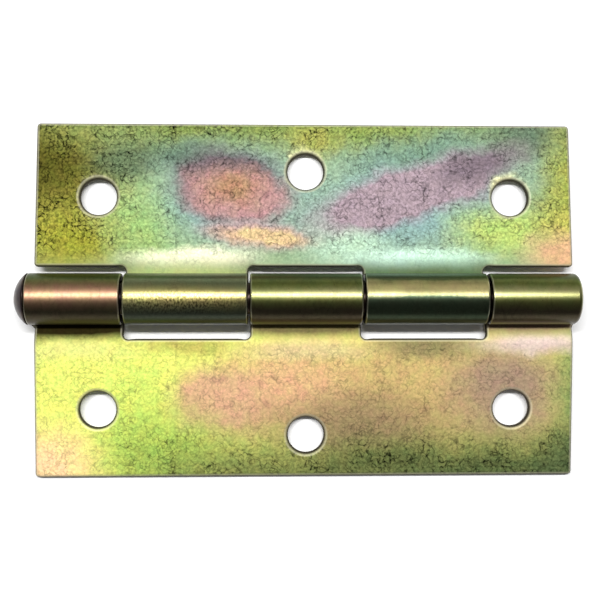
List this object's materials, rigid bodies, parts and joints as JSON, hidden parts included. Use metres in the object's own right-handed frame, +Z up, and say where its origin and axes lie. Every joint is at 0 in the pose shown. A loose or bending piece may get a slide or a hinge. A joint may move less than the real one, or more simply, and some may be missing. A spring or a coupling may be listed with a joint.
{
  "type": "butt hinge",
  "caption": "Steel butt hinge lying open: flat punched leaves with cranked, rolled knuckles interleaved on one domed pin, under an iridescent yellow zinc plating.",
  "frame": {"origin": "centre of the footprint on the table, under the middle of the overall length", "axes": "+X along the pin from its domed head to its tail, +Y towards the two-knuckle leaf, +Z up out of the leaves' inner faces"},
  "size_m": [0.079, 0.0502, 0.0072],
  "materials": {
    "leaf_plating": "zinc plated, iridescent yellow chromate",
    "pin_plating": "zinc plated, darker yellow chromate"
  },
  "bodies": {
    "fixed_leaf": {"leaf_three_knuckle": "leaf_plating", "hinge_pin": "pin_plating"},
    "swing_leaf": {"leaf_two_knuckle": "leaf_plating"}
  },
  "joints": [
    {"name": "leaf_swing", "type": "hinge", "parent": "fixed_leaf", "child": "swing_leaf", "pos_m": [0.0011, 0, 0.0036], "axis": [1, 0, 0], "range_deg": [-110, 189]}
  ]
}
